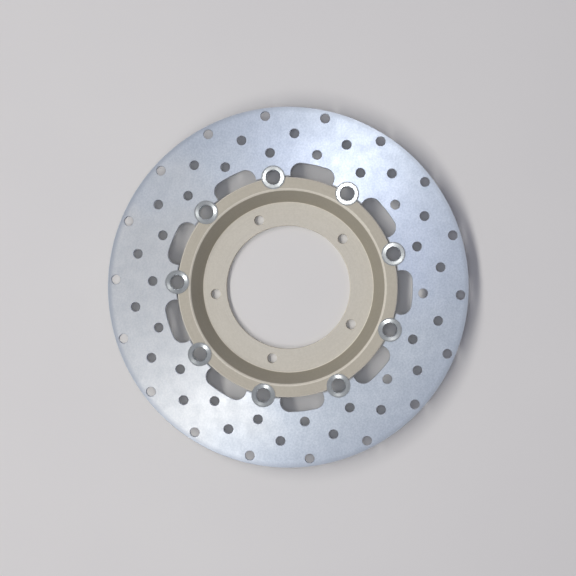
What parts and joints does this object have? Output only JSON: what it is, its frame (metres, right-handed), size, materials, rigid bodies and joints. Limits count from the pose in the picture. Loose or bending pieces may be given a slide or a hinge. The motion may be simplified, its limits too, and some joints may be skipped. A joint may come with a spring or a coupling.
{
  "type": "brake disc rotor",
  "caption": "Floating motorcycle brake disc: drilled steel ring on hollow drive bobbins round a dished aluminium carrier with a ring of wheel bolt holes.",
  "frame": {"origin": "centre of the face that bolts to the wheel hub, on the disc's axis", "axes": "+Z along the wheel axle from the hub face towards the bobbin heads; +X through one bobbin and one wheel bolt hole"},
  "size_m": [0.305, 0.305, 0.0258],
  "materials": {
    "ring_steel": "turned stainless steel with a bluish zinc plate",
    "carrier_alloy": "fine-turned and anodised, pale champagne",
    "bobbin_steel": "turned and bright zinc plated",
    "spring_steel": "plain spring steel",
    "washer_steel": "zinc plated",
    "circlip_steel": "phosphated spring steel"
  },
  "bodies": {
    "carrier": {"carrier": "carrier_alloy"},
    "wave_washers": {"wave_washer_1": "spring_steel", "wave_washer_2": "spring_steel", "wave_washer_3": "spring_steel", "wave_washer_4": "spring_steel", "wave_washer_5": "spring_steel", "wave_washer_6": "spring_steel", "wave_washer_7": "spring_steel", "wave_washer_8": "spring_steel", "wave_washer_9": "spring_steel"},
    "rotor_ring": {"rotor_ring": "ring_steel"},
    "bobbin_1": {"drive_bobbin_1": "bobbin_steel", "flat_washer_1": "washer_steel", "circlip_1": "circlip_steel"},
    "bobbin_2": {"drive_bobbin_2": "bobbin_steel", "flat_washer_2": "washer_steel", "circlip_2": "circlip_steel"},
    "bobbin_3": {"drive_bobbin_3": "bobbin_steel", "flat_washer_3": "washer_steel", "circlip_3": "circlip_steel"},
    "bobbin_4": {"drive_bobbin_4": "bobbin_steel", "flat_washer_4": "washer_steel", "circlip_4": "circlip_steel"},
    "bobbin_5": {"drive_bobbin_5": "bobbin_steel", "flat_washer_5": "washer_steel", "circlip_5": "circlip_steel"},
    "bobbin_6": {"drive_bobbin_6": "bobbin_steel", "flat_washer_6": "washer_steel", "circlip_6": "circlip_steel"},
    "bobbin_7": {"drive_bobbin_7": "bobbin_steel", "flat_washer_7": "washer_steel", "circlip_7": "circlip_steel"},
    "bobbin_8": {"drive_bobbin_8": "bobbin_steel", "flat_washer_8": "washer_steel", "circlip_8": "circlip_steel"},
    "bobbin_9": {"drive_bobbin_9": "bobbin_steel", "flat_washer_9": "washer_steel", "circlip_9": "circlip_steel"}
  },
  "joints": [
    {"name": "ring_lash", "type": "hinge", "parent": "carrier", "child": "wave_washers", "pos_m": [0, 0, 0.0215], "axis": [0, 0, 1], "range_deg": [-0.08, 0.08]},
    {"name": "ring_float", "type": "slide", "parent": "wave_washers", "child": "rotor_ring", "axis": [0, 0, 1], "range_m": [-0.00035, 0], "stiffness_N_per_m": 200000, "springref_m": 0.0004, "deforming": ["wave_washer_1", "wave_washer_2", "wave_washer_3", "wave_washer_4", "wave_washer_5", "wave_washer_6", "wave_washer_7", "wave_washer_8", "wave_washer_9"]},
    {"name": "bobbin_1_turn", "type": "hinge", "parent": "carrier", "child": "bobbin_1", "pos_m": [0.0935, 0, 0.0215], "axis": [0, 0, 1], "continuous": true},
    {"name": "bobbin_2_turn", "type": "hinge", "parent": "carrier", "child": "bobbin_2", "pos_m": [0.07163, 0.0601, 0.0215], "axis": [0, 0, 1], "continuous": true},
    {"name": "bobbin_3_turn", "type": "hinge", "parent": "carrier", "child": "bobbin_3", "pos_m": [0.01624, 0.09208, 0.0215], "axis": [0, 0, 1], "continuous": true},
    {"name": "bobbin_4_turn", "type": "hinge", "parent": "carrier", "child": "bobbin_4", "pos_m": [-0.04675, 0.08097, 0.0215], "axis": [0, 0, 1], "continuous": true},
    {"name": "bobbin_5_turn", "type": "hinge", "parent": "carrier", "child": "bobbin_5", "pos_m": [-0.08786, 0.03198, 0.0215], "axis": [0, 0, 1], "continuous": true},
    {"name": "bobbin_6_turn", "type": "hinge", "parent": "carrier", "child": "bobbin_6", "pos_m": [-0.08786, -0.03198, 0.0215], "axis": [0, 0, 1], "continuous": true},
    {"name": "bobbin_7_turn", "type": "hinge", "parent": "carrier", "child": "bobbin_7", "pos_m": [-0.04675, -0.08097, 0.0215], "axis": [0, 0, 1], "continuous": true},
    {"name": "bobbin_8_turn", "type": "hinge", "parent": "carrier", "child": "bobbin_8", "pos_m": [0.01624, -0.09208, 0.0215], "axis": [0, 0, 1], "continuous": true},
    {"name": "bobbin_9_turn", "type": "hinge", "parent": "carrier", "child": "bobbin_9", "pos_m": [0.07163, -0.0601, 0.0215], "axis": [0, 0, 1], "continuous": true}
  ]
}
